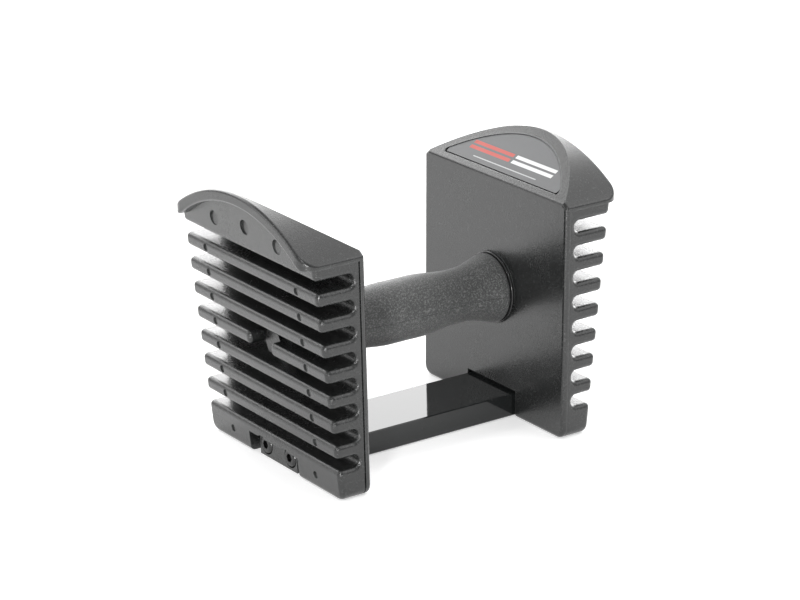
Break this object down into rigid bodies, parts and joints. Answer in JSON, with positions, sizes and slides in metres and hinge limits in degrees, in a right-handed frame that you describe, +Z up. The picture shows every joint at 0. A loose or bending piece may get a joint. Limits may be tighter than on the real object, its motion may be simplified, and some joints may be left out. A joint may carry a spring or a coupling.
{
  "type": "adjustable dumbbell handle core",
  "caption": "Handle core of a block-style adjustable dumbbell: waisted grip and flat base bar between two slotted plastic end blocks with arched hoods.",
  "frame": {"origin": "on the floor plane, midway between the two ends and midway across the width", "axes": "+X along the grip's axis, towards the right end; +Y across the object; +Z up"},
  "size_m": [0.186, 0.1194, 0.1419],
  "materials": {
    "block_plastic": "fine speckled satin, charcoal",
    "cover_plastic": "smooth satin, charcoal",
    "label_film": "satin grey film",
    "grip_rubber": "fine speckled charcoal rubber",
    "collar_plastic": "polished black",
    "bar_paint": "gloss black enamel on steel",
    "plain_steel": "zinc-plated steel",
    "black_steel": "black-oxide steel, glossy heads"
  },
  "bodies": {
    "root": {"left_end_block": "block_plastic", "right_end_block": "block_plastic", "left_face_cover": "cover_plastic", "right_face_cover": "cover_plastic", "left_label_plate": "label_film", "right_label_plate": "label_film", "left_tube_insert": "plain_steel", "right_tube_insert": "plain_steel", "left_handle_washer": "plain_steel", "right_handle_washer": "plain_steel", "left_lock_washer": "plain_steel", "right_lock_washer": "plain_steel", "left_handle_bolt": "black_steel", "right_handle_bolt": "black_steel", "left_grip_collar": "collar_plastic", "right_grip_collar": "collar_plastic", "left_bar_screws": "black_steel", "right_bar_screws": "black_steel", "handle_tube": "plain_steel", "grip_sleeve": "grip_rubber", "base_bar": "bar_paint"}
  },
  "joints": []
}
